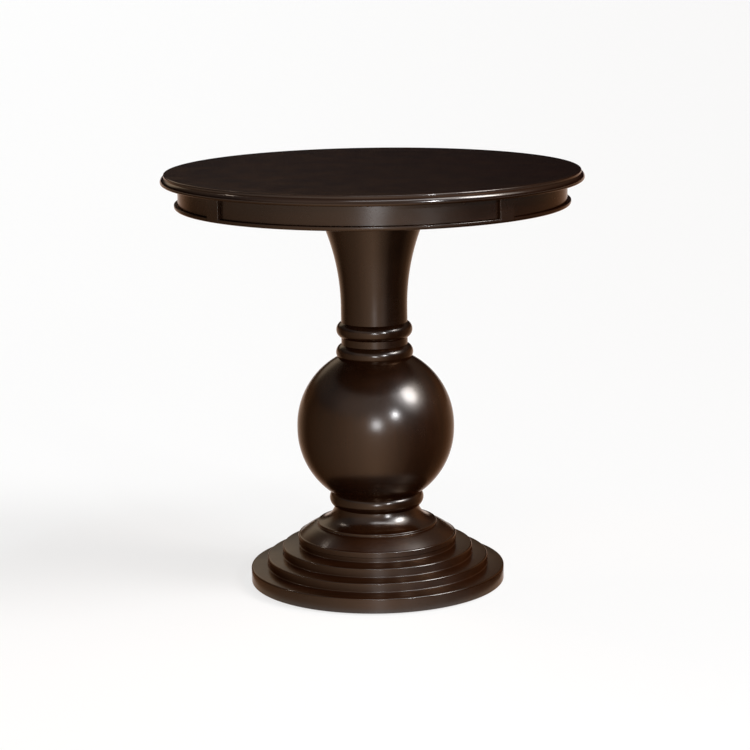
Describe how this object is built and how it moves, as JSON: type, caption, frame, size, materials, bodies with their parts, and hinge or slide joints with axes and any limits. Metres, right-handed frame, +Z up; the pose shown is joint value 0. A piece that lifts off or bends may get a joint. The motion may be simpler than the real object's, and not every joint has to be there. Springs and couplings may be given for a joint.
{
  "type": "round pedestal table",
  "caption": "Round pedestal table with a moulded top, a panelled apron, a flared column on a large ball, and a stepped round base on levelling feet.",
  "frame": {"origin": "on the floor under the table's centre, level with the underside of the feet", "axes": "+Z up along the pedestal's axis, -Y towards the front apron panel, +X to the right seen from the front"},
  "size_m": [0.762, 0.762, 0.762],
  "materials": {
    "lacquered_wood": "dark stain under glossy lacquer",
    "plain_wood": "thin dark stain, matt",
    "zinc_steel": "zinc plated",
    "nylon": "matt"
  },
  "bodies": {
    "table": {"apron_core": "plain_wood", "apron_panel_1": "lacquered_wood", "apron_panel_2": "lacquered_wood", "apron_panel_3": "lacquered_wood", "apron_panel_4": "lacquered_wood", "apron_rail_1": "lacquered_wood", "apron_rail_2": "lacquered_wood", "apron_rail_3": "lacquered_wood", "apron_rail_4": "lacquered_wood", "apron_stile_1": "lacquered_wood", "apron_stile_2": "lacquered_wood", "apron_stile_3": "lacquered_wood", "apron_stile_4": "lacquered_wood", "ball_collar": "lacquered_wood", "ball_dowels": "plain_wood", "ball_lower_half": "lacquered_wood", "ball_upper_half": "lacquered_wood", "base_cove": "lacquered_wood", "base_dome": "lacquered_wood", "base_dowels": "plain_wood", "base_plate": "lacquered_wood", "column": "lacquered_wood", "column_dowels": "plain_wood", "glue_block_1": "plain_wood", "glue_block_2": "plain_wood", "glue_block_3": "plain_wood", "glue_block_4": "plain_wood", "glue_block_5": "plain_wood", "glue_block_6": "plain_wood", "glue_block_7": "plain_wood", "glue_block_8": "plain_wood", "leveller_inserts": "zinc_steel", "lower_bead": "lacquered_wood", "lower_tier": "lacquered_wood", "mounting_plate": "plain_wood", "neck_ring": "lacquered_wood", "tie_rod": "zinc_steel", "tie_rod_nuts": "zinc_steel", "tie_rod_washers": "zinc_steel", "top_edge_ring": "lacquered_wood", "top_panel": "lacquered_wood", "top_screws": "zinc_steel", "upper_bead": "lacquered_wood", "upper_tier": "lacquered_wood"},
    "leveller_1": {"leveller_stem_1": "zinc_steel", "leveller_pad_1": "nylon"},
    "leveller_2": {"leveller_stem_2": "zinc_steel", "leveller_pad_2": "nylon"},
    "leveller_3": {"leveller_stem_3": "zinc_steel", "leveller_pad_3": "nylon"},
    "leveller_4": {"leveller_stem_4": "zinc_steel", "leveller_pad_4": "nylon"}
  },
  "joints": [
    {"name": "leveller_1_adjust", "type": "slide", "parent": "table", "child": "leveller_1", "axis": [0, 0, -1], "range_m": [0, 0.008]},
    {"name": "leveller_2_adjust", "type": "slide", "parent": "table", "child": "leveller_2", "axis": [0, 0, -1], "range_m": [0, 0.008]},
    {"name": "leveller_3_adjust", "type": "slide", "parent": "table", "child": "leveller_3", "axis": [0, 0, -1], "range_m": [0, 0.008]},
    {"name": "leveller_4_adjust", "type": "slide", "parent": "table", "child": "leveller_4", "axis": [0, 0, -1], "range_m": [0, 0.008]}
  ]
}
